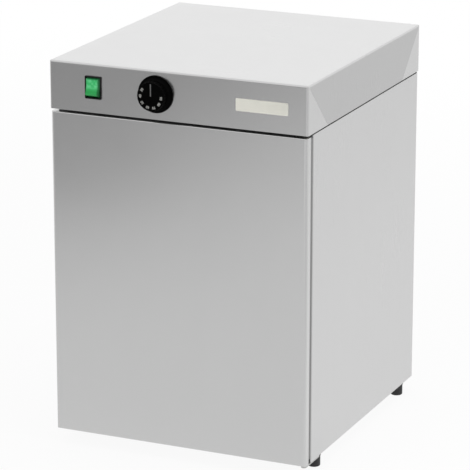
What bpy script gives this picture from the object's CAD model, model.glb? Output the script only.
"""The looks of a small free-standing plate warmer, built around its fixed model.

Every length is in metres: +Z is up, the door faces -Y and +X is to the right of it.
"""

import logging
import math
from collections.abc import Callable
from dataclasses import dataclass, field
from enum import Enum

import bmesh
import bpy
from mathutils import Matrix, Vector


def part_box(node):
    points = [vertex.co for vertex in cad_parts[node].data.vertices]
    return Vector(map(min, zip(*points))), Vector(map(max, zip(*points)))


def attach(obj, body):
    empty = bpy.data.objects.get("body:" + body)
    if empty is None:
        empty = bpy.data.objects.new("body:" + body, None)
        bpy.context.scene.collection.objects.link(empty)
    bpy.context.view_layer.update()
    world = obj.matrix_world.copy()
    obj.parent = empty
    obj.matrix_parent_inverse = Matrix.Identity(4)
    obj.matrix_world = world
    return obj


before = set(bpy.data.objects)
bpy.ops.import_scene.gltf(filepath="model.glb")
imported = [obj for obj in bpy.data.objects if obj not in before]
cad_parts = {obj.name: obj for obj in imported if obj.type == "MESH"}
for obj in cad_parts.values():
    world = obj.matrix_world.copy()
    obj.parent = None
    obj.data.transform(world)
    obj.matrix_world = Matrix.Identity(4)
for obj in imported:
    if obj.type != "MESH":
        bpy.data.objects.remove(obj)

LOG = logging.getLogger("plate_warmer")
MM = 0.001
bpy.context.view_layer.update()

Colour = tuple[float, float, float]
Place = tuple[float, float, float]
Counts = tuple[float, float, float]  # how many to a metre along X, Y and Z
Span = tuple[float, float]           # where a smooth step starts and ends

STEEL: Colour = (0.76, 0.76, 0.76)
GAP_SHADE = 0.22  # how much darker a sheet gets where it turns into the gap beside the door
STRAIGHT = 0.99   # how closely an edge or a face has to follow an axis


# ----------------------------------------
# Shader arithmetic
# ----------------------------------------


class Wire:
    """A value that travels through a shader: wraps an output socket and adds Math nodes."""

    def __init__(self, shader: "Shader", socket: bpy.types.NodeSocket) -> None:
        """Keeps the shader that the socket belongs to.

        Args:
            shader: the shader whose tree gets the new nodes.
            socket: the output socket that carries the value.
        """
        self.shader = shader
        self.socket = socket

    def _math(self, operation: str, *values: "Wire | float", clamp: bool = False) -> "Wire":
        """Adds one Math node.

        Args:
            operation: the Math node's operation.
            values: its inputs, in order.
            clamp: whether its result is held between 0 and 1.

        Returns:
            The node's result.
        """
        node = self.shader.node("ShaderNodeMath", {"operation": operation, "use_clamp": clamp},
                                dict(enumerate(values)))
        return Wire(self.shader, node.outputs[0])

    def __add__(self, other: "Wire | float") -> "Wire":
        """The sum of two values."""
        return self._math("ADD", self, other)

    __radd__ = __add__

    def __sub__(self, other: "Wire | float") -> "Wire":
        """This value less the other."""
        return self._math("SUBTRACT", self, other)

    def __rsub__(self, other: float) -> "Wire":
        """The other value less this one."""
        return self._math("SUBTRACT", other, self)

    def __mul__(self, other: "Wire | float") -> "Wire":
        """The product of two values."""
        return self._math("MULTIPLY", self, other)

    __rmul__ = __mul__

    def __neg__(self) -> "Wire":
        """The value with its sign turned."""
        return self._math("MULTIPLY", self, -1.0)

    def __abs__(self) -> "Wire":
        """The value without its sign."""
        return self._math("ABSOLUTE", self)

    def held(self) -> "Wire":
        """The value held between 0 and 1."""
        return self._math("ADD", self, 0.0, clamp=True)

    def swing(self, amount: float) -> "Wire":
        """How far a noise is from its middle of 0.5, times an amount."""
        return (self - 0.5) * amount

    def at_least(self, other: "Wire | float") -> "Wire":
        """The larger of two values."""
        return self._math("MAXIMUM", self, other)

    def wave(self) -> "Wire":
        """The sine of the value."""
        return self._math("SINE", self)

    def step(self, low: float, high: float) -> "Wire":
        """A smooth step over a range.

        Args:
            low: where the step starts, at 0.
            high: where it ends, at 1; below low for a step that falls.

        Returns:
            The stepped value, between 0 and 1.
        """
        rising = low < high
        limits = (low, high, 0.0, 1.0) if rising else (high, low, 1.0, 0.0)
        node = self.shader.node("ShaderNodeMapRange", {"interpolation_type": "SMOOTHSTEP"},
                                {0: self, 1: limits[0], 2: limits[1], 3: limits[2], 4: limits[3]})
        return Wire(self.shader, node.outputs[0])


class Shader:
    """Builds one material's nodes."""

    def __init__(self, name: str, world: bpy.types.World | None = None) -> None:
        """Makes an empty material, or empties a world, and gives it its end node.

        Args:
            name: the material's name.
            world: the world to fill instead of a new material.
        """
        self.material = world or bpy.data.materials.new(name)
        self.material.use_nodes = True
        self.tree = self.material.node_tree
        self.tree.nodes.clear()
        self.output = self.node("ShaderNodeOutputWorld" if world else "ShaderNodeOutputMaterial", {}, {})

    def node(self, kind: str, settings: dict, values: dict) -> bpy.types.Node:
        """Adds any node: its settings first, then its sockets.

        Args:
            kind: the node's type.
            settings: attributes to set; one named "stops" fills a colour ramp.
            values: socket names or numbers, with a Wire, a socket or a plain value for each.

        Returns:
            The new node.
        """
        made = self.tree.nodes.new(kind)
        for key, setting in settings.items():
            if key == "stops":
                self._fill_ramp(made, setting)
            else:
                setattr(made, key, setting)
        for key, value in values.items():
            socket = made.inputs[key]
            if isinstance(value, Wire):
                self.tree.links.new(value.socket, socket)
            elif isinstance(value, bpy.types.NodeSocket):
                self.tree.links.new(value, socket)
            else:
                socket.default_value = value
        return made

    @staticmethod
    def _fill_ramp(node: bpy.types.Node, stops: tuple[tuple[float, Colour], ...]) -> None:
        """Writes a colour ramp's stops.

        Args:
            node: the ramp.
            stops: each stop's place, from 0 to 1, and its colour.
        """
        ramp = node.color_ramp
        while len(ramp.elements) < len(stops):
            ramp.elements.new(0.5)
        for element, (place, colour) in zip(ramp.elements, stops):
            element.position = place
            element.color = (*colour, 1.0)

    def spots(self) -> tuple[Wire, Wire, Wire]:
        """The shaded point's X, Y and Z on the object, in metres."""
        place = self.node("ShaderNodeTexCoord", {}, {}).outputs["Object"]
        split = self.node("ShaderNodeSeparateXYZ", {}, {0: place})
        return tuple(Wire(self, split.outputs[i]) for i in range(3))

    def vector(self, x: "Wire | float", y: "Wire | float", z: "Wire | float") -> bpy.types.NodeSocket:
        """A vector of three values."""
        return self.node("ShaderNodeCombineXYZ", {}, {0: x, 1: y, 2: z}).outputs[0]

    def scaled(self, counts: Counts | float) -> bpy.types.NodeSocket:
        """The shaded point, counted in blobs or cells of a pattern instead of in metres.

        Args:
            counts: how many to a metre, along each axis or alike along all three.

        Returns:
            The socket of the scaled point.
        """
        each = counts if isinstance(counts, tuple) else (counts,) * 3
        return self.vector(*(spot * count for spot, count in zip(self.spots(), each)))

    def noise(self, vector: bpy.types.NodeSocket, detail: float = 3.0, roughness: float = 0.5) -> Wire:
        """Smooth noise about 0.5.

        Args:
            vector: the point, already scaled so that 1 is one blob.
            detail: how many finer layers it has.
            roughness: how strong those are.

        Returns:
            The noise.
        """
        values = {"Vector": vector, "Scale": 1.0, "Detail": detail, "Roughness": roughness}
        return Wire(self, self.node("ShaderNodeTexNoise", {}, values).outputs[0])

    def blobs(self, counts: Counts | float, detail: float = 3.0, roughness: float = 0.5) -> Wire:
        """Smooth noise about 0.5 that stays with the object.

        Args:
            counts: how many blobs to a metre, along each axis or alike.
            detail: how many finer layers it has.
            roughness: how strong those are.

        Returns:
            The noise.
        """
        return self.noise(self.scaled(counts), detail, roughness)

    def cells(self, count: float) -> Wire:
        """The distance to the nearest of scattered points, which gives flakes and pits.

        Args:
            count: how many cells to a metre.

        Returns:
            The distance, in cells.
        """
        values = {"Vector": self.scaled(count), "Scale": 1.0}
        return Wire(self, self.node("ShaderNodeTexVoronoi", {}, values).outputs[0])

    def blend(self, factor: "Wire | float", first: "Colour | bpy.types.NodeSocket",
              second: "Colour | bpy.types.NodeSocket") -> bpy.types.NodeSocket:
        """Mixes two colours.

        Args:
            factor: 0 gives the first and 1 the second.
            first: a colour or a socket that carries one.
            second: likewise.

        Returns:
            The socket of the mixed colour.
        """
        sides = [(*c, 1.0) if isinstance(c, tuple) else c for c in (first, second)]
        mixed = self.node("ShaderNodeMix", {"data_type": "RGBA"}, {0: factor, 6: sides[0], 7: sides[1]})
        return mixed.outputs[2]

    def tint(self, colour: "Colour | bpy.types.NodeSocket", amount: Wire) -> bpy.types.NodeSocket:
        """Multiplies a colour by a grey amount.

        Args:
            colour: the colour.
            amount: 1 leaves it as it is.

        Returns:
            The socket of the product.
        """
        grey = self.vector(amount, amount, amount)
        return self.node("ShaderNodeVectorMath", {"operation": "MULTIPLY"}, {0: colour, 1: grey}).outputs[0]

    def bump(self, height: Wire, depth: float, strength: float = 0.6) -> bpy.types.NodeSocket:
        """Turns a height into a surface normal.

        Args:
            height: the height, about 0 to 1.
            depth: what 1 stands for, in metres.
            strength: how much of it is used.

        Returns:
            The socket of the normal.
        """
        values = {"Height": height, "Distance": depth, "Strength": strength}
        return self.node("ShaderNodeBump", {}, values).outputs[0]

    def mix(self, factor: "Wire | float", first: bpy.types.NodeSocket,
            second: bpy.types.NodeSocket) -> bpy.types.NodeSocket:
        """Mixes two shaders: a factor of 0 gives the first and 1 the second."""
        return self.node("ShaderNodeMixShader", {}, {0: factor, 1: first, 2: second}).outputs[0]

    def rays(self) -> tuple[Wire, Wire]:
        """Tells the kinds of ray that reach a surface apart.

        Returns:
            1 for a ray straight from the camera, and 1 for one that a surface mirrored or let through.
        """
        path = self.node("ShaderNodeLightPath", {}, {})
        camera, glossy, through = (Wire(self, path.outputs[f"Is {kind} Ray"])
                                   for kind in ("Camera", "Glossy", "Transmission"))
        return camera, glossy.at_least(through)

    def ends_in(self, surface: bpy.types.NodeSocket) -> None:
        """Ends the material in a shader."""
        self.tree.links.new(surface, self.output.inputs["Surface"])

    def surface(self, **values: "Wire | bpy.types.NodeSocket | float | tuple") -> None:
        """Ends the material in one Principled shader; an underscore stands for a space in a name."""
        sockets = {key.replace("_", " "): value for key, value in values.items()}
        self.ends_in(self.node("ShaderNodeBsdfPrincipled", {}, sockets).outputs[0])


# ----------------------------------------
# Finishes
# ----------------------------------------


class Grain(Enum):
    """Which way a sheet's brushed lines run once it has been folded."""

    UPRIGHT = "up and down on the walls"
    LEVEL = "level along the walls"
    ACROSS = "across the top and down its two side flanges"


@dataclass(frozen=True)
class Finish:
    """What every finish has: a name and a way to make its material."""

    name: str

    def material(self) -> bpy.types.Material:
        """Makes the finish's material, once.

        Returns:
            The material, shared by all that wear this finish.
        """
        ready = bpy.data.materials.get(self.name)
        if ready is not None:
            return ready
        shader = Shader(self.name)
        self.paint(shader)
        return shader.material

    def paint(self, shader: Shader) -> None:
        """Builds the nodes; each finish has its own.

        Args:
            shader: the shader to fill.
        """
        raise NotImplementedError


@dataclass(frozen=True)
class BrushedSheet(Finish):
    """Satin stainless sheet: fine brushed lines, faint clouds, paler worn edges.

    Lines are counted across the grain and along it. Low and high are the sheet's own box, which
    places its bends, its mitre lines and its flanges; flange_span starts from the box's side.
    """

    low: Place
    high: Place
    grain: Grain
    tone: Colour = STEEL
    gloss: float = 0.3
    fine_lines: tuple[float, float] = (1900.0, 9.0)
    broad_lines: tuple[float, float] = (240.0, 2.5)
    line_light: float = 0.04
    broad_light: float = 0.024
    clouds: Counts = (5.0, 5.0, 3.2)
    cloud_light: float = 0.04
    smears: Counts = (34.0, 34.0, 22.0)
    edge: float = 1.2 * MM
    edge_light: float = 0.05
    seam: float = 0.0
    seam_span: Span = (1.1 * MM, 0.2 * MM)
    flange_shade: float = 0.0
    flange_span: Span = (-2.4 * MM, -0.6 * MM)
    crevice: float = 0.0
    crevice_y: float = 0.0
    crevice_deep: float = 3.0 * MM
    line_deep: float = 0.003 * MM

    def _lines(self, shader: Shader, counts: tuple[float, float]) -> Wire:
        """Brushed lines along the grain.

        Args:
            shader: the shader.
            counts: lines per metre across the grain, and changes per metre along a line.

        Returns:
            The lines' noise.
        """
        x, y, z = shader.spots()
        across, along_it = {
            Grain.UPRIGHT: (x + y, z),
            Grain.LEVEL: (z, x + y),
            Grain.ACROSS: (y, x + z),
        }[self.grain]
        return shader.noise(shader.vector(across * counts[0], along_it * counts[1], 0.0), 2.0, 0.6)

    def _edges(self, shader: Shader) -> Wire:
        """Finds the sheet's outer bends.

        Args:
            shader: the shader.

        Returns:
            1 along the bends, where two sides of the sheet's box meet, and 0 on the flats.
        """
        near = []
        for spot, low, high in zip(shader.spots(), self.low, self.high):
            middle = (low + high) / 2
            half = (high - low) / 2
            near.append(abs(spot - middle).step(half - self.edge, half))
        pairs = [near[0] * near[1], near[1] * near[2], near[0] * near[2]]
        return pairs[0].at_least(pairs[1]).at_least(pairs[2])

    def _seam(self, shader: Shader) -> Wire:
        """1 along the fine joint line of the mitred corners."""
        _, y, z = shader.spots()
        return abs(abs(y) - self.high[1] + self.high[2] - z).step(*self.seam_span)

    def _flanges(self, shader: Shader) -> Wire:
        """1 on the two side flanges, whose grain meets the light another way."""
        start, end = (self.high[0] + offset for offset in self.flange_span)
        return abs(shader.spots()[0]).step(start, end)

    def paint(self, shader: Shader) -> None:
        """Builds the brushed steel's nodes."""
        fine = self._lines(shader, self.fine_lines)
        broad = self._lines(shader, self.broad_lines)
        clouds = shader.blobs(self.clouds, 3.0, 0.55)
        smears = shader.blobs(self.smears, 2.0)
        light = 1.0 + fine.swing(self.line_light) + broad.swing(self.broad_light)
        light = light + clouds.swing(self.cloud_light) + self._edges(shader) * self.edge_light
        if self.seam:
            light = light - self._seam(shader) * self.seam
        if self.flange_shade:
            light = light - self._flanges(shader) * self.flange_shade
        if self.crevice:
            into_gap = abs(shader.spots()[1] - self.crevice_y).step(self.crevice_deep, 0.0)
            light = light - into_gap * self.crevice
        rough = self.gloss + clouds.swing(0.1) + smears.swing(0.05) + fine.swing(0.08)
        shader.surface(
            Base_Color=shader.tint(self.tone, light),
            Roughness=rough.held(),
            Metallic=0.92,
            Normal=shader.bump(fine, self.line_deep, 0.3),
        )


@dataclass(frozen=True)
class MillSheet(Finish):
    """Plain rolled sheet inside the cabinet: dull, faintly streaked, with handling marks.

    Streaks are counted across the sheet, up it and through it.
    """

    tone: Colour = (0.56, 0.565, 0.575)
    gloss: float = 0.36
    warmth: float = 0.0
    warm_tint: Colour = (1.0, 0.93, 0.8)
    streaks: Counts = (420.0, 7.0, 5.0)
    clouds: float = 9.0
    marks: float = 60.0

    def paint(self, shader: Shader) -> None:
        """Builds the rolled sheet's nodes."""
        x, y, z = shader.spots()
        across, up, through = self.streaks
        streaks = shader.noise(shader.vector((x + y) * across, z * up, (x - y) * through), 2.0)
        clouds = shader.blobs(self.clouds, 4.0, 0.6)
        marks = shader.blobs(self.marks, 2.0).step(0.62, 0.74)
        warm = tuple(part * tint for part, tint in zip(self.tone, self.warm_tint))
        base = shader.blend(clouds.step(0.4, 0.75) * self.warmth, self.tone, warm)
        light = 1.0 + streaks.swing(0.1) + clouds.swing(0.14) - marks * 0.05
        shader.surface(
            Base_Color=shader.tint(base, light),
            Roughness=(self.gloss + clouds.swing(0.16) + marks * 0.1).held(),
            Metallic=0.95,
            Normal=shader.bump(streaks * 0.4 + clouds * 0.6, 0.03 * MM, 0.4),
        )


@dataclass(frozen=True)
class ZincSheet(Finish):
    """Zinc-coated sheet with a small spangle, for the back and the base."""

    tone: Colour = (0.5, 0.515, 0.535)
    flakes: float = 130.0
    clouds: float = 12.0

    def paint(self, shader: Shader) -> None:
        """Builds the spangled zinc's nodes."""
        flakes = shader.cells(self.flakes)
        clouds = shader.blobs(self.clouds, 3.0)
        shader.surface(
            Base_Color=shader.tint(self.tone, 0.92 + flakes * 0.16 + clouds.swing(0.12)),
            Roughness=(0.38 + flakes * 0.14 + clouds.swing(0.1)).held(),
            Metallic=0.9,
            Normal=shader.bump(flakes, 0.01 * MM, 0.3),
        )


@dataclass(frozen=True)
class BrightMetal(Finish):
    """Small plated, drawn or turned metal parts, a little tarnished in places."""

    tone: Colour = (0.62, 0.62, 0.61)
    gloss: float = 0.2
    tarnish: Colour = (0.42, 0.41, 0.38)
    spread: float = 0.25
    clouds: float = 140.0
    grain: float = 1500.0
    metallic: float = 1.0

    def paint(self, shader: Shader) -> None:
        """Builds the plated metal's nodes."""
        clouds = shader.blobs(self.clouds, 3.0)
        fine = shader.blobs(self.grain, 2.0)
        base = shader.blend(clouds.step(0.45, 0.8) * self.spread, self.tone, self.tarnish)
        shader.surface(
            Base_Color=shader.tint(base, 0.97 + fine * 0.06),
            Roughness=(self.gloss + clouds.swing(0.14) + fine.swing(0.05)).held(),
            Metallic=self.metallic,
            Normal=shader.bump(fine, 0.006 * MM, 0.3),
        )


@dataclass(frozen=True)
class HeatedTube(Finish):
    """The heating element's sheath: dark, with straw and blue temper colours."""

    bands: Counts = (11.0, 7.0, 11.0)
    scale: float = 420.0
    temper: tuple[tuple[float, Colour], ...] = (
        (0.3, (0.11, 0.1, 0.1)), (0.48, (0.19, 0.14, 0.09)),
        (0.6, (0.1, 0.1, 0.15)), (0.75, (0.13, 0.12, 0.12)))

    def paint(self, shader: Shader) -> None:
        """Builds the heat-tinted sheath's nodes."""
        scale = shader.blobs(self.scale, 3.0)
        ramp = shader.node("ShaderNodeValToRGB", {"stops": self.temper}, {0: shader.blobs(self.bands, 2.0)})
        shader.surface(
            Base_Color=shader.tint(ramp.outputs[0], 0.85 + scale * 0.3),
            Roughness=(0.45 + scale.swing(0.3)).held(),
            Metallic=0.8,
            Normal=shader.bump(scale, 0.02 * MM, 0.5),
        )


@dataclass(frozen=True)
class Moulding(Finish):
    """A moulded plastic or rubber: fine spark texture, a little dust, paler rubbed spots."""

    tone: Colour = (0.014, 0.014, 0.015)
    rubbed: Colour = (0.03, 0.03, 0.032)
    gloss: float = 0.34
    specular: float = 0.5
    grain: float = 1600.0
    grain_deep: float = 0.02 * MM
    clouds: float = 70.0

    def paint(self, shader: Shader) -> None:
        """Builds the moulded plastic's nodes."""
        grain = shader.blobs(self.grain, 2.0)
        clouds = shader.blobs(self.clouds, 3.0)
        base = shader.blend(clouds.step(0.5, 0.82) * 0.6, self.tone, self.rubbed)
        shader.surface(
            Base_Color=shader.tint(base, 0.94 + grain * 0.12),
            Roughness=(self.gloss + clouds.swing(0.14) + grain.swing(0.12)).held(),
            Metallic=0.0,
            Specular_IOR_Level=self.specular,
            Normal=shader.bump(grain, self.grain_deep, 0.5),
        )


@dataclass(frozen=True)
class LitLens(Finish):
    """The rocker's green lens, lit from behind and brighter over its lamp.

    Its pattern is laid out from its middle, with 1 at its edges.
    """

    middle: Place
    half_wide: float = 10.7 * MM
    half_tall: float = 14.0 * MM
    bright: Colour = (0.12, 0.6, 0.25)
    upper: Colour = (0.035, 0.44, 0.125)
    lower: Colour = (0.018, 0.31, 0.07)
    deep: Colour = (0.004, 0.07, 0.018)
    clouds: float = 230.0
    ribs: float = 26.0
    glow: float = 0.15

    def paint(self, shader: Shader) -> None:
        """Builds the lit lens's nodes."""
        x, _, z = shader.spots()
        up = (z - self.middle[2]) * (1.0 / self.half_tall)
        side = (x - self.middle[0]) * (1.0 / self.half_wide)
        cloud = shader.blobs(self.clouds, 3.0)
        ribs = (up * self.ribs).wave() * 0.5 + 0.5
        lamp = up.step(-0.3, 0.15) * (0.15 + cloud.step(0.4, 0.62) * 0.85)
        lit = shader.blend(lamp, shader.blend(up.step(-0.45, 0.1), self.lower, self.upper), self.bright)
        rim = side.step(0.5, 0.85).at_least(abs(up).step(0.7, 0.95)).at_least(side.step(-0.8, -1.0) * 0.5)
        shade = (rim * 0.85 + ribs * 0.06 + cloud.swing(0.2)).held()
        colour = shader.blend(shade, lit, self.deep)
        shader.surface(
            Base_Color=colour,
            Roughness=(0.2 + cloud.swing(0.12)).held(),
            Metallic=0.0,
            Specular_IOR_Level=0.35,
            Emission_Color=colour,
            Emission_Strength=self.glow,
            Normal=shader.bump(ribs, 0.05 * MM, 0.3),
        )


@dataclass(frozen=True)
class Wool(Finish):
    """Mineral wool: matted yellow-brown fibre in thin layers."""

    fibre: Counts = (900.0, 900.0, 240.0)
    tufts: Counts = (90.0, 90.0, 40.0)
    dark: Colour = (0.5, 0.39, 0.2)
    pale: Colour = (0.74, 0.64, 0.4)

    def paint(self, shader: Shader) -> None:
        """Builds the wool's nodes."""
        fibre = shader.blobs(self.fibre, 4.0, 0.7)
        tufts = shader.blobs(self.tufts, 4.0, 0.65)
        base = shader.blend(tufts.step(0.35, 0.7), self.dark, self.pale)
        shader.surface(
            Base_Color=shader.tint(base, 0.75 + fibre * 0.5),
            Roughness=(0.88 + fibre.swing(0.15)).held(),
            Metallic=0.0,
            Normal=shader.bump(fibre * 0.6 + tufts * 0.4, 0.6 * MM, 0.9),
        )


@dataclass(frozen=True)
class Glaze(Finish):
    """Glazed ceramic, cream white with fine pits."""

    pits: float = 700.0
    clouds: float = 120.0
    tone: Colour = (0.82, 0.79, 0.7)
    stained: Colour = (0.74, 0.7, 0.6)

    def paint(self, shader: Shader) -> None:
        """Builds the glaze's nodes."""
        pits = shader.cells(self.pits).step(0.12, 0.3)
        clouds = shader.blobs(self.clouds, 3.0)
        base = shader.blend(clouds.step(0.4, 0.7) * 0.5, self.tone, self.stained)
        shader.surface(
            Base_Color=shader.tint(base, 0.9 + pits * 0.1),
            Roughness=(0.24 + clouds.swing(0.2)).held(),
            Metallic=0.0,
            Normal=shader.bump(pits, 0.03 * MM, 0.4),
        )


@dataclass(frozen=True)
class Print(Finish):
    """Pad-printed paint, a little uneven and worn."""

    tone: Colour = (0.46, 0.46, 0.44)
    worn: Colour = (0.26, 0.26, 0.25)
    wear: float = 1200.0

    def paint(self, shader: Shader) -> None:
        """Builds the printed paint's nodes."""
        wear = shader.blobs(self.wear, 3.0, 0.6)
        shader.surface(
            Base_Color=shader.blend(wear.step(0.45, 0.8), self.tone, self.worn),
            Roughness=(0.5 + wear.swing(0.3)).held(),
            Metallic=0.0,
            Normal=shader.bump(wear, 0.01 * MM, 0.4),
        )


@dataclass(frozen=True)
class BlankPlate(Finish):
    """The blank plate on the hood: pale anodised field, finely brushed along its length."""

    tone: Colour = (0.85, 0.84, 0.76)
    lines: Counts = (30.0, 30.0, 2600.0)
    clouds: float = 70.0

    def paint(self, shader: Shader) -> None:
        """Builds the pale plate's nodes."""
        lines = shader.blobs(self.lines, 2.0)
        clouds = shader.blobs(self.clouds, 3.0)
        shader.surface(
            Base_Color=shader.tint(self.tone, 0.94 + lines * 0.08 + clouds.swing(0.06)),
            Roughness=(0.42 + lines.swing(0.2) + clouds.swing(0.1)).held(),
            Metallic=0.1,
            Normal=shader.bump(lines, 0.01 * MM, 0.4),
        )


def sheet_for(node: str, name: str, grain: Grain, **looks: float | Colour) -> BrushedSheet:
    """A brushed finish whose worn edges follow a node's own box.

    Args:
        node: the node that wears it.
        name: the material's name.
        grain: the way its lines run.
        looks: other fields of the finish.

    Returns:
        The finish.
    """
    low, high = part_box(node)
    return BrushedSheet(name, tuple(low), tuple(high), grain, **looks)


def dress(finish: Finish, *nodes: str) -> None:
    """Gives model nodes a finish through their own material slots.

    Args:
        finish: the finish.
        nodes: the names of the nodes.
    """
    material = finish.material()
    for name in nodes:
        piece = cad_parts[name]
        if not piece.material_slots:
            piece.data.materials.append(material)
        for slot in piece.material_slots:
            slot.material = material
        LOG.info("%s wears %s", name, finish.name)


# ----------------------------------------
# Workbench
# ----------------------------------------


class Workbench:
    """Models new pieces as by hand: a primitive, then edits of chosen faces and edges."""

    @staticmethod
    def clear() -> None:
        """Leaves edit mode and selects nothing."""
        if bpy.context.object is not None and bpy.context.object.mode != "OBJECT":
            bpy.ops.object.mode_set(mode="OBJECT")
        bpy.ops.object.select_all(action="DESELECT")

    @staticmethod
    def keep(name: str) -> bpy.types.Object:
        """Names the active object and its mesh, and puts its place into its mesh.

        Args:
            name: the piece's name.

        Returns:
            The piece, at the origin.
        """
        piece = bpy.context.object
        piece.name = name
        piece.data.name = name
        bpy.ops.object.transform_apply(location=True, rotation=True, scale=True)
        return piece

    def block(self, name: str, low: Place, high: Place) -> bpy.types.Object:
        """A box between two corners, ready to be shaped.

        Args:
            name: the piece's name.
            low: its lowest corner.
            high: its highest corner.

        Returns:
            The box.
        """
        self.clear()
        middle = [(a + b) / 2 for a, b in zip(low, high)]
        size = [b - a for a, b in zip(low, high)]
        bpy.ops.mesh.primitive_cube_add(size=1.0, location=middle)
        bpy.context.object.scale = size
        return self.keep(name)

    @staticmethod
    def pick(piece: bpy.types.Object, faces: Callable[[bmesh.types.BMFace], bool] | None = None,
             edges: Callable[[bmesh.types.BMEdge], bool] | None = None) -> None:
        """Goes into edit mode with only some faces or edges selected.

        Args:
            piece: the piece to edit.
            faces: says whether a face is wanted.
            edges: says whether an edge is wanted.
        """
        bpy.context.view_layer.objects.active = piece
        piece.select_set(True)
        bpy.ops.object.mode_set(mode="EDIT")
        bpy.ops.mesh.select_mode(type="FACE" if faces else "EDGE")
        bpy.ops.mesh.select_all(action="DESELECT")
        mesh = bmesh.from_edit_mesh(piece.data)
        for item in mesh.faces if faces else mesh.edges:
            item.select_set((faces or edges)(item))
        bmesh.update_edit_mesh(piece.data)

    def round_edges(self, piece: bpy.types.Object, axis: int, radius: float, steps: int) -> None:
        """Rounds the edges that run along one axis.

        Args:
            piece: the piece.
            axis: 0, 1 or 2 for X, Y or Z.
            radius: the rounding's radius.
            steps: how many flats it is made of.
        """
        self.pick(piece, edges=along(axis))
        bpy.ops.mesh.bevel(offset=radius, segments=steps, affect="EDGES")
        bpy.ops.object.mode_set(mode="OBJECT")

    @staticmethod
    def done(piece: bpy.types.Object, smooth_angle: float = 35.0, merge: float = 0.001 * MM) -> None:
        """Finishes a mesh: no doubles, outward normals, and smooth shading on the bends.

        Args:
            piece: the piece, in object mode.
            smooth_angle: edges sharper than this, in degrees, stay sharp.
            merge: corners that are closer together than this become one.
        """
        bpy.context.view_layer.objects.active = piece
        bpy.ops.object.mode_set(mode="EDIT")
        bpy.ops.mesh.select_all(action="SELECT")
        bpy.ops.mesh.remove_doubles(threshold=merge)
        bpy.ops.mesh.normals_make_consistent(inside=False)
        bpy.ops.object.mode_set(mode="OBJECT")
        piece.select_set(True)
        bpy.ops.object.shade_smooth_by_angle(angle=math.radians(smooth_angle))
        piece.select_set(False)

    @staticmethod
    def soften(piece: bpy.types.Object, width: float, steps: int = 2, sharp: float = 40.0) -> None:
        """Rounds a piece's sharp edges and applies the rounding.

        Args:
            piece: the piece.
            width: the rounding's width.
            steps: how many flats it is made of.
            sharp: edges that turn by more than this, in degrees, are rounded.
        """
        bpy.context.view_layer.objects.active = piece
        bevel = piece.modifiers.new("soften", "BEVEL")
        bevel.width = width
        bevel.segments = steps
        bevel.limit_method = "ANGLE"
        bevel.angle_limit = math.radians(sharp)
        bpy.ops.object.modifier_apply(modifier=bevel.name)


BENCH = Workbench()


def along(axis: int) -> Callable[[bmesh.types.BMEdge], bool]:
    """A test for edges that run along one axis.

    Args:
        axis: 0, 1 or 2 for X, Y or Z.

    Returns:
        The test.
    """
    def runs(edge: bmesh.types.BMEdge) -> bool:
        """Whether the edge runs along the axis."""
        step = edge.verts[1].co - edge.verts[0].co
        return step.length > 0 and abs(step[axis]) > STRAIGHT * step.length
    return runs


def facing(axis: int, sign: int) -> Callable[[bmesh.types.BMFace], bool]:
    """A test for faces that look one way along an axis.

    Args:
        axis: 0, 1 or 2 for X, Y or Z.
        sign: 1 or -1, the way along it.

    Returns:
        The test.
    """
    def looks(face: bmesh.types.BMFace) -> bool:
        """Whether the face looks that way."""
        return face.normal[axis] * sign > STRAIGHT
    return looks


def add_piece(piece: bpy.types.Object, body: str, finish: Finish) -> None:
    """Adds a new piece to the object: its material and the body it rides on.

    Args:
        piece: the piece.
        body: the body it moves with.
        finish: its finish.
    """
    piece.data.materials.clear()
    piece.data.materials.append(finish.material())
    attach(piece, body)
    LOG.info("%s rides on %s", piece.name, body)


# ----------------------------------------
# Sub-assemblies
# ----------------------------------------


@dataclass
class Hood:
    """The hood: three folded sheets mitred at the corners, and a blank plate in front.

    The plate lies on the front sheet's face, and plate_rise is from that sheet's lower edge.
    """

    front_tone: Colour = (0.725, 0.725, 0.725)
    front_gloss: float = 0.15
    return_light: float = 0.03
    top_tone: Colour = (0.77, 0.77, 0.77)
    flange_shade: float = 0.17
    mitre_line: float = 0.06
    plate_left: float = 91.0 * MM
    plate_right: float = 169.7 * MM
    plate_rise: float = 26.0 * MM
    plate_tall: float = 18.0 * MM
    plate_thick: float = 1.0 * MM
    plate_corner: float = 1.2 * MM
    rim: float = 0.9 * MM
    rim_slope: float = 0.2 * MM
    rim_height: float = 0.25 * MM
    rim_rounding: float = 0.12 * MM

    def dress(self) -> None:
        """Gives the hood's sheets their brushed finish and mitre lines."""
        dress(sheet_for("hood_top", "steel_hood_top", Grain.ACROSS, tone=self.top_tone,
                        seam=self.mitre_line, flange_shade=self.flange_shade), "hood_top")
        dress(sheet_for("control_panel", "steel_hood_front", Grain.LEVEL, tone=self.front_tone,
                        gloss=self.front_gloss, flange_shade=-self.return_light), "control_panel")
        dress(sheet_for("hood_rear_panel", "steel_hood_rear", Grain.LEVEL, tone=self.top_tone),
              "hood_rear_panel")
        dress(Moulding("rubber_seal", tone=(0.012, 0.012, 0.012), gloss=0.6), "hood_seal")

    def plate(self) -> None:
        """Adds a thin blank plate with round corners and a raised rim."""
        _, front, hood_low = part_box("control_panel")[0]
        low = hood_low + self.plate_rise
        plate = BENCH.block("blank_plate", (self.plate_left, front - self.plate_thick, low),
                            (self.plate_right, front, low + self.plate_tall))
        BENCH.round_edges(plate, 1, self.plate_corner, 6)
        BENCH.pick(plate, faces=facing(1, -1))
        bpy.ops.mesh.inset(thickness=self.rim, depth=0.0)
        bpy.ops.mesh.inset(thickness=self.rim_slope, depth=-self.rim_height)
        bpy.ops.object.mode_set(mode="OBJECT")
        BENCH.soften(plate, self.rim_rounding)
        BENCH.done(plate)
        add_piece(plate, "cabinet", BlankPlate("plate_pale"))


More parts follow.
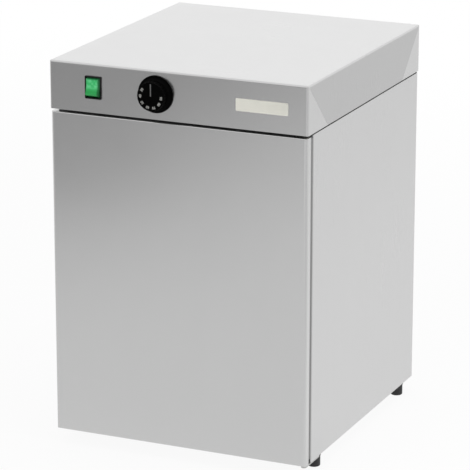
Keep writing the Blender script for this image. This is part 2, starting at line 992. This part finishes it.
@dataclass
class Dial:
    """The thermostat knob: black moulding, printed numbers and a grey pointer line.

    The numbers' places are in degrees from the viewer's right, turning through the top.
    """

    dish: float = 0.3 * MM
    number_ring: float = 15.9 * MM
    number_size: float = 5.2 * MM
    number_thick: float = 0.06 * MM
    number_bold: float = 0.09 * MM
    number_steps: int = 3
    pointer_wide: float = 1.8 * MM
    pointer_long: float = 18.0 * MM
    pointer_start: float = 0.4 * MM
    pointer_deep: float = 0.2 * MM
    pointer_corner: float = 0.5 * MM
    pointer_rounding: float = 0.05 * MM
    numbers: dict[int, float] = field(default_factory=lambda: {
        30: 146.0, 40: 181.0, 50: 216.0, 60: 253.0, 70: 288.0, 80: 323.0, 90: 357.0})

    def centre(self) -> Vector:
        """The middle of the knob's dished face."""
        low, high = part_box("knob")
        return Vector(((low[0] + high[0]) / 2, low[1] + self.dish, (low[2] + high[2]) / 2))

    def dress(self) -> None:
        """Gives the knob and its spindle their finishes."""
        dress(Moulding("knob_black", tone=(0.0012, 0.0012, 0.0012), rubbed=(0.005, 0.005, 0.005),
                       gloss=0.42, specular=0.03), "knob")
        dress(BrightMetal("spindle_zinc"), "thermostat_spindle")

    def number(self, value: int, angle: float) -> bpy.types.Object:
        """One printed number on the knob's face, its top outwards.

        Args:
            value: the number.
            angle: its place, in degrees from the viewer's right.

        Returns:
            The number.
        """
        BENCH.clear()
        bpy.ops.object.text_add()
        text = bpy.context.object.data
        text.body = str(value)
        text.size = self.number_size
        text.align_x = "CENTER"
        text.align_y = "CENTER"
        text.extrude = self.number_thick / 2
        text.offset = self.number_bold
        text.resolution_u = self.number_steps
        bpy.ops.object.convert(target="MESH")
        radians = math.radians(angle)
        upright = Matrix.Rotation(math.radians(90.0), 4, "X")
        turn = Matrix.Rotation(math.radians(angle - 90.0), 4, "Z")
        place = self.centre() + self.number_ring * Vector((math.cos(radians), 0.0, math.sin(radians)))
        bpy.context.object.matrix_world = Matrix.Translation(place) @ upright @ turn
        return BENCH.keep(f"knob_number_{value}")

    def numerals(self) -> None:
        """Adds all the numbers, joined as the one print that they are."""
        made = [self.number(value, angle) for value, angle in self.numbers.items()]
        BENCH.clear()
        for piece in made:
            piece.select_set(True)
        numerals = made[0]
        bpy.context.view_layer.objects.active = numerals
        bpy.ops.object.join()
        numerals.name = "knob_numbers"
        BENCH.done(numerals)
        add_piece(numerals, "knob", Print("print_white"))

    def pointer(self) -> None:
        """Adds the grey inlay in the face's pointer groove."""
        x, face, z = self.centre()
        half = self.pointer_wide / 2
        low = z + self.pointer_start
        inlay = BENCH.block("knob_pointer", (x - half, face, low),
                            (x + half, face + self.pointer_deep, low + self.pointer_long))
        BENCH.round_edges(inlay, 1, self.pointer_corner, 4)
        BENCH.soften(inlay, self.pointer_rounding)
        BENCH.done(inlay)
        grey = Print("print_grey", tone=(0.13, 0.13, 0.13), worn=(0.07, 0.07, 0.07))
        add_piece(inlay, "knob", grey)


@dataclass
class Switch:
    """The rocker switch: glossy black housing and lit green rocker."""

    def dress(self) -> None:
        """Gives the switch its finishes."""
        low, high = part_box("switch_rocker")
        dress(LitLens("lens_green", tuple((low + high) / 2)), "switch_rocker")
        dress(Moulding("switch_black", tone=(0.004, 0.004, 0.004), rubbed=(0.01, 0.01, 0.01),
                       gloss=0.26, specular=0.3), "switch_housing")


@dataclass
class Shell:
    """The cabinet's outer sheets, and the panels and wool behind them."""

    def dress(self) -> None:
        """Gives the body's sheets their finishes."""
        for side in ("side_panel_left", "side_panel_right"):
            dress(sheet_for(side, f"steel_{side}", Grain.UPRIGHT, crevice=GAP_SHADE,
                            crevice_y=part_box(side)[0][1]), side)
        dress(sheet_for("front_rail_bottom", "steel_rails", Grain.LEVEL),
              "front_rail_bottom", "front_rail_top")
        dress(ZincSheet("zinc_sheet"), "back_panel", "base_panel", "top_divider")
        dress(Wool("mineral_wool"), "insulation_left", "insulation_right", "insulation_back",
              "insulation_roof", "insulation_base", "door_insulation")


@dataclass
class Door:
    """The flush insulated door and what it turns on."""

    bend: float = 2.2 * MM
    gloss: float = 0.2

    def dress(self) -> None:
        """Gives the door's pieces their finishes."""
        dress(sheet_for("door_outer", "steel_door", Grain.UPRIGHT, edge=self.bend, gloss=self.gloss,
                        crevice=GAP_SHADE, crevice_y=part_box("door_outer")[1][1]), "door_outer")
        dress(MillSheet("steel_door_pan"), "door_inner")
        dress(Moulding("silicone_gasket", tone=(0.2, 0.2, 0.2), rubbed=(0.26, 0.26, 0.26), gloss=0.6),
              "door_gasket")
        dress(Moulding("grip_black", gloss=0.42), "door_grip")
        dress(Moulding("nylon_bush", tone=(0.74, 0.72, 0.64), rubbed=(0.6, 0.57, 0.48), gloss=0.4,
                       grain_deep=0.01 * MM), "hinge_bushes")
        dress(BrightMetal("zinc_plate", gloss=0.28), "strike_plates")
        dress(BrightMetal("blackened_steel", tone=(0.03, 0.03, 0.03), tarnish=(0.06, 0.055, 0.05),
                          gloss=0.5, metallic=0.6), "hinge_bracket_top")
        dress(BrightMetal("zinc_bracket", gloss=0.3), "hinge_bracket_bottom")
        dress(BrightMetal("ferrite", tone=(0.06, 0.06, 0.065), tarnish=(0.1, 0.1, 0.1), gloss=0.45,
                          metallic=0.4), "magnet_catches")


@dataclass
class Chamber:
    """The plate chamber: liner, heater, thermostat bulb and wire shelf."""

    def dress(self) -> None:
        """Gives the chamber's pieces their finishes."""
        dress(MillSheet("steel_liner"), "liner_left", "liner_right", "liner_back", "liner_roof",
              "shelf_support_left", "shelf_support_right")
        dress(MillSheet("steel_heated", tone=(0.5, 0.49, 0.47), gloss=0.42, warmth=0.8), "heater_tray",
              "heater_cover", "element_brackets")
        dress(HeatedTube("element_sheath"), "heating_element")
        dress(BrightMetal("copper_tube", tone=(0.72, 0.45, 0.27), tarnish=(0.35, 0.2, 0.12), gloss=0.26,
                          spread=0.6), "thermostat_bulb")
        dress(BrightMetal("shelf_chrome", tone=(0.76, 0.77, 0.79), tarnish=(0.55, 0.55, 0.56), gloss=0.09,
                          spread=0.2), "shelf")
        dress(BrightMetal("spring_clips", gloss=0.25), "bulb_clips", "support_rivets")


@dataclass
class Fittings:
    """Feet, screws, and the electrical pieces inside and behind the hood."""

    def dress(self) -> None:
        """Gives the fittings their finishes."""
        dress(Moulding("foot_black", tone=(0.02, 0.02, 0.021), rubbed=(0.045, 0.045, 0.047), gloss=0.5,
                       grain=900.0, grain_deep=0.04 * MM),
              "foot_front_left", "foot_front_right", "foot_rear_left", "foot_rear_right")
        dress(BrightMetal("zinc_screws", gloss=0.24), "foot_screws", "panel_screws", "bracket_screws",
              "thermostat_screws")
        dress(Moulding("gland_grey", tone=(0.05, 0.05, 0.052), rubbed=(0.08, 0.08, 0.08), gloss=0.44),
              "cable_gland", "cable_gland_nut")
        dress(Moulding("thermostat_ivory", tone=(0.58, 0.54, 0.44), rubbed=(0.5, 0.45, 0.34), gloss=0.5),
              "thermostat_body")
        dress(Glaze("terminal_glaze"), "terminal_block")
        dress(Moulding("wire_red", tone=(0.4, 0.05, 0.03), rubbed=(0.3, 0.04, 0.03), gloss=0.55),
              "internal_wiring")


# ----------------------------------------
# Studio
# ----------------------------------------


@dataclass(frozen=True)
class Lamp:
    """A square soft lamp that faces the cabinet and leaves no highlight of its own."""

    name: str
    place: Place
    size: float
    watts: float
    aim: Place = (0.0, 0.0, 0.3)

    def hang(self) -> None:
        """Adds the lamp to the scene."""
        data = bpy.data.lights.new(self.name, "AREA")
        data.shape = "SQUARE"
        data.size = self.size
        data.energy = self.watts
        lamp = bpy.data.objects.new(self.name, data)
        lamp.location = self.place
        back = Vector(self.place) - Vector(self.aim)
        lamp.rotation_euler = back.to_track_quat("Z", "Y").to_euler()
        lamp.visible_glossy = False
        bpy.context.scene.collection.objects.link(lamp)


@dataclass
class Studio:
    """The pale floor, the soft lamps, the surround and the camera.

    Frame_px and focal_px are the photograph's width and its fitted focal length, in pixels. A
    fall is how much darker than mirror_white the floor is in reflections, and its spans are
    distances from the cabinet's middle, to the side that they are named for or ahead. The cloud
    is one soft dark patch. Levels are the surround's brightness, and its spans run over a
    direction's height, or its part towards the rear.
    """

    frame_px: float = 470.0
    focal_px: float = 2859.0
    sensor: float = 36.0
    azimuth: float = 24.02
    elevation: float = 16.58
    distance: float = 4.269
    target: Place = (-7.1 * MM, 0.0, 283.8 * MM)
    view_end: float = 50.0

    floor_half: float = 7.0
    floor_tone: Colour = (0.8, 0.8, 0.8)
    floor_white: float = 0.92
    floor_fade: Span = (0.6, 2.4)
    mirror_white: float = 0.81
    left_fall: float = 0.41
    left_span: Span = (0.0, 1.35)
    left_ahead_span: Span = (0.2, 2.2)
    front_fall: float = 0.12
    front_span: Span = (-0.1, 0.6)
    right_fall: float = 0.08
    right_span: Span = (0.45, 1.1)
    cloud_fall: float = 0.18
    cloud_middle: tuple[float, float] = (-0.86, -1.62)
    cloud_half: tuple[float, float] = (0.30, 0.40)
    near_fall: float = 0.03
    near_ahead_span: Span = (0.60, 0.25)
    near_right_span: Span = (0.21, 0.20)

    ambient: float = 0.5
    ahead_level: float = 0.36
    overhead_level: float = 0.8
    overhead_span: Span = (0.1, 0.75)
    rear_span: Span = (-0.35, 0.25)
    rear_height_span: Span = (0.75, 0.45)

    lamps: tuple[Lamp, ...] = (
        Lamp("overhead", (0.2, 0.3, 3.2), 2.4, 38.0),
        Lamp("right", (3.2, -0.4, 1.6), 2.0, 42.0),
        Lamp("front", (-0.8, -3.4, 1.8), 2.0, 24.0),
    )

    def camera(self) -> None:
        """Sets the camera, as fitted to the cabinet's corners in the photograph."""
        turn, rise = math.radians(self.azimuth), math.radians(self.elevation)
        back = Vector((math.sin(turn) * math.cos(rise), -math.cos(turn) * math.cos(rise), math.sin(rise)))
        data = bpy.data.cameras.new("camera")
        data.lens = self.focal_px / self.frame_px * self.sensor
        data.sensor_width = self.sensor
        data.sensor_fit = "HORIZONTAL"
        data.clip_end = self.view_end
        camera = bpy.data.objects.new("camera", data)
        camera.location = Vector(self.target) + back * self.distance
        camera.rotation_euler = back.to_track_quat("Z", "Y").to_euler()
        bpy.context.scene.collection.objects.link(camera)
        bpy.context.scene.camera = camera

    def mirrored_floor(self, shader: Shader) -> Wire:
        """How bright the floor is in reflections.

        Args:
            shader: the floor's shader.

        Returns:
            The brightness, from 0 for black to 1 for white.
        """
        x, y, _ = shader.spots()
        ahead = -y
        left = (-x).step(*self.left_span) * ahead.step(*self.left_ahead_span) * self.left_fall
        front = ahead.step(*self.front_span) * self.front_fall
        right = x.step(*self.right_span) * self.right_fall
        across, along_it = (abs(spot - middle).step(half, 0.0)
                            for spot, middle, half in zip((x, y), self.cloud_middle, self.cloud_half))
        cloud = across * along_it * self.cloud_fall
        near = ahead.step(*self.near_ahead_span) * x.step(*self.near_right_span) * self.near_fall
        return self.mirror_white - left - front - right - cloud - near

    def floor(self) -> None:
        """Lays the pale floor, which is white to the camera but for a soft shadow."""
        BENCH.clear()
        bpy.ops.mesh.primitive_plane_add(size=2 * self.floor_half, location=(0.0, 0.0, 0.0))
        floor = BENCH.keep("floor")
        shader = Shader("floor_pale")
        x, y, _ = shader.spots()
        camera, mirrored = shader.rays()
        matt = shader.node("ShaderNodeBsdfDiffuse", {}, {"Color": (*self.floor_tone, 1.0)}).outputs[0]
        black, white = (shader.node("ShaderNodeEmission", {}, {"Color": (*tone, 1.0)}).outputs[0]
                        for tone in ((0.0, 0.0, 0.0), (1.0, 1.0, 1.0)))
        away = abs(x).at_least(abs(y)).step(*self.floor_fade)
        seen = shader.mix(camera * (away * (1.0 - self.floor_white) + self.floor_white), matt, white)
        reflected = shader.mix(self.mirrored_floor(shader), black, white)
        shader.ends_in(shader.mix(mirrored, seen, reflected))
        floor.data.materials.append(shader.material)

    def world(self) -> None:
        """Sets the surround: white to the camera, soft as a light, and shaded in reflections."""
        world = bpy.data.worlds.new("surround")
        shader = Shader("surround", world)
        direction = shader.node("ShaderNodeTexCoord", {}, {}).outputs["Generated"]
        split = shader.node("ShaderNodeSeparateXYZ", {}, {0: direction})
        y, z = (Wire(shader, split.outputs[i]) for i in (1, 2))
        camera, mirrored = shader.rays()
        levels = (1.0, self.ambient, self.ahead_level, self.overhead_level)
        values = ({"Color": (1.0, 1.0, 1.0, 1.0), "Strength": level} for level in levels)
        white, soft, ahead, overhead = (
            shader.node("ShaderNodeBackground", {}, each).outputs[0] for each in values)
        around = shader.mix(z.step(*self.overhead_span), ahead, overhead)
        rear = y.step(*self.rear_span) * z.step(*self.rear_height_span)
        reflected = shader.mix(rear, around, white)
        shader.ends_in(shader.mix(camera, shader.mix(mirrored, soft, reflected), white))
        bpy.context.scene.world = world

    def build(self) -> None:
        """Builds the studio and sets the plain view transform."""
        bpy.context.scene.view_settings.view_transform = "Standard"
        self.camera()
        self.floor()
        self.world()
        for lamp in self.lamps:
            lamp.hang()


def main() -> None:
    """Builds the studio, dresses the model and adds the pieces that it lacks."""
    logging.basicConfig(level=logging.INFO, format="%(message)s")
    Studio().build()
    hood = Hood()
    hood.dress()
    hood.plate()
    dial = Dial()
    dial.dress()
    dial.numerals()
    dial.pointer()
    for assembly in (Switch(), Shell(), Door(), Chamber(), Fittings()):
        assembly.dress()


if __name__ == "__main__":
    main()
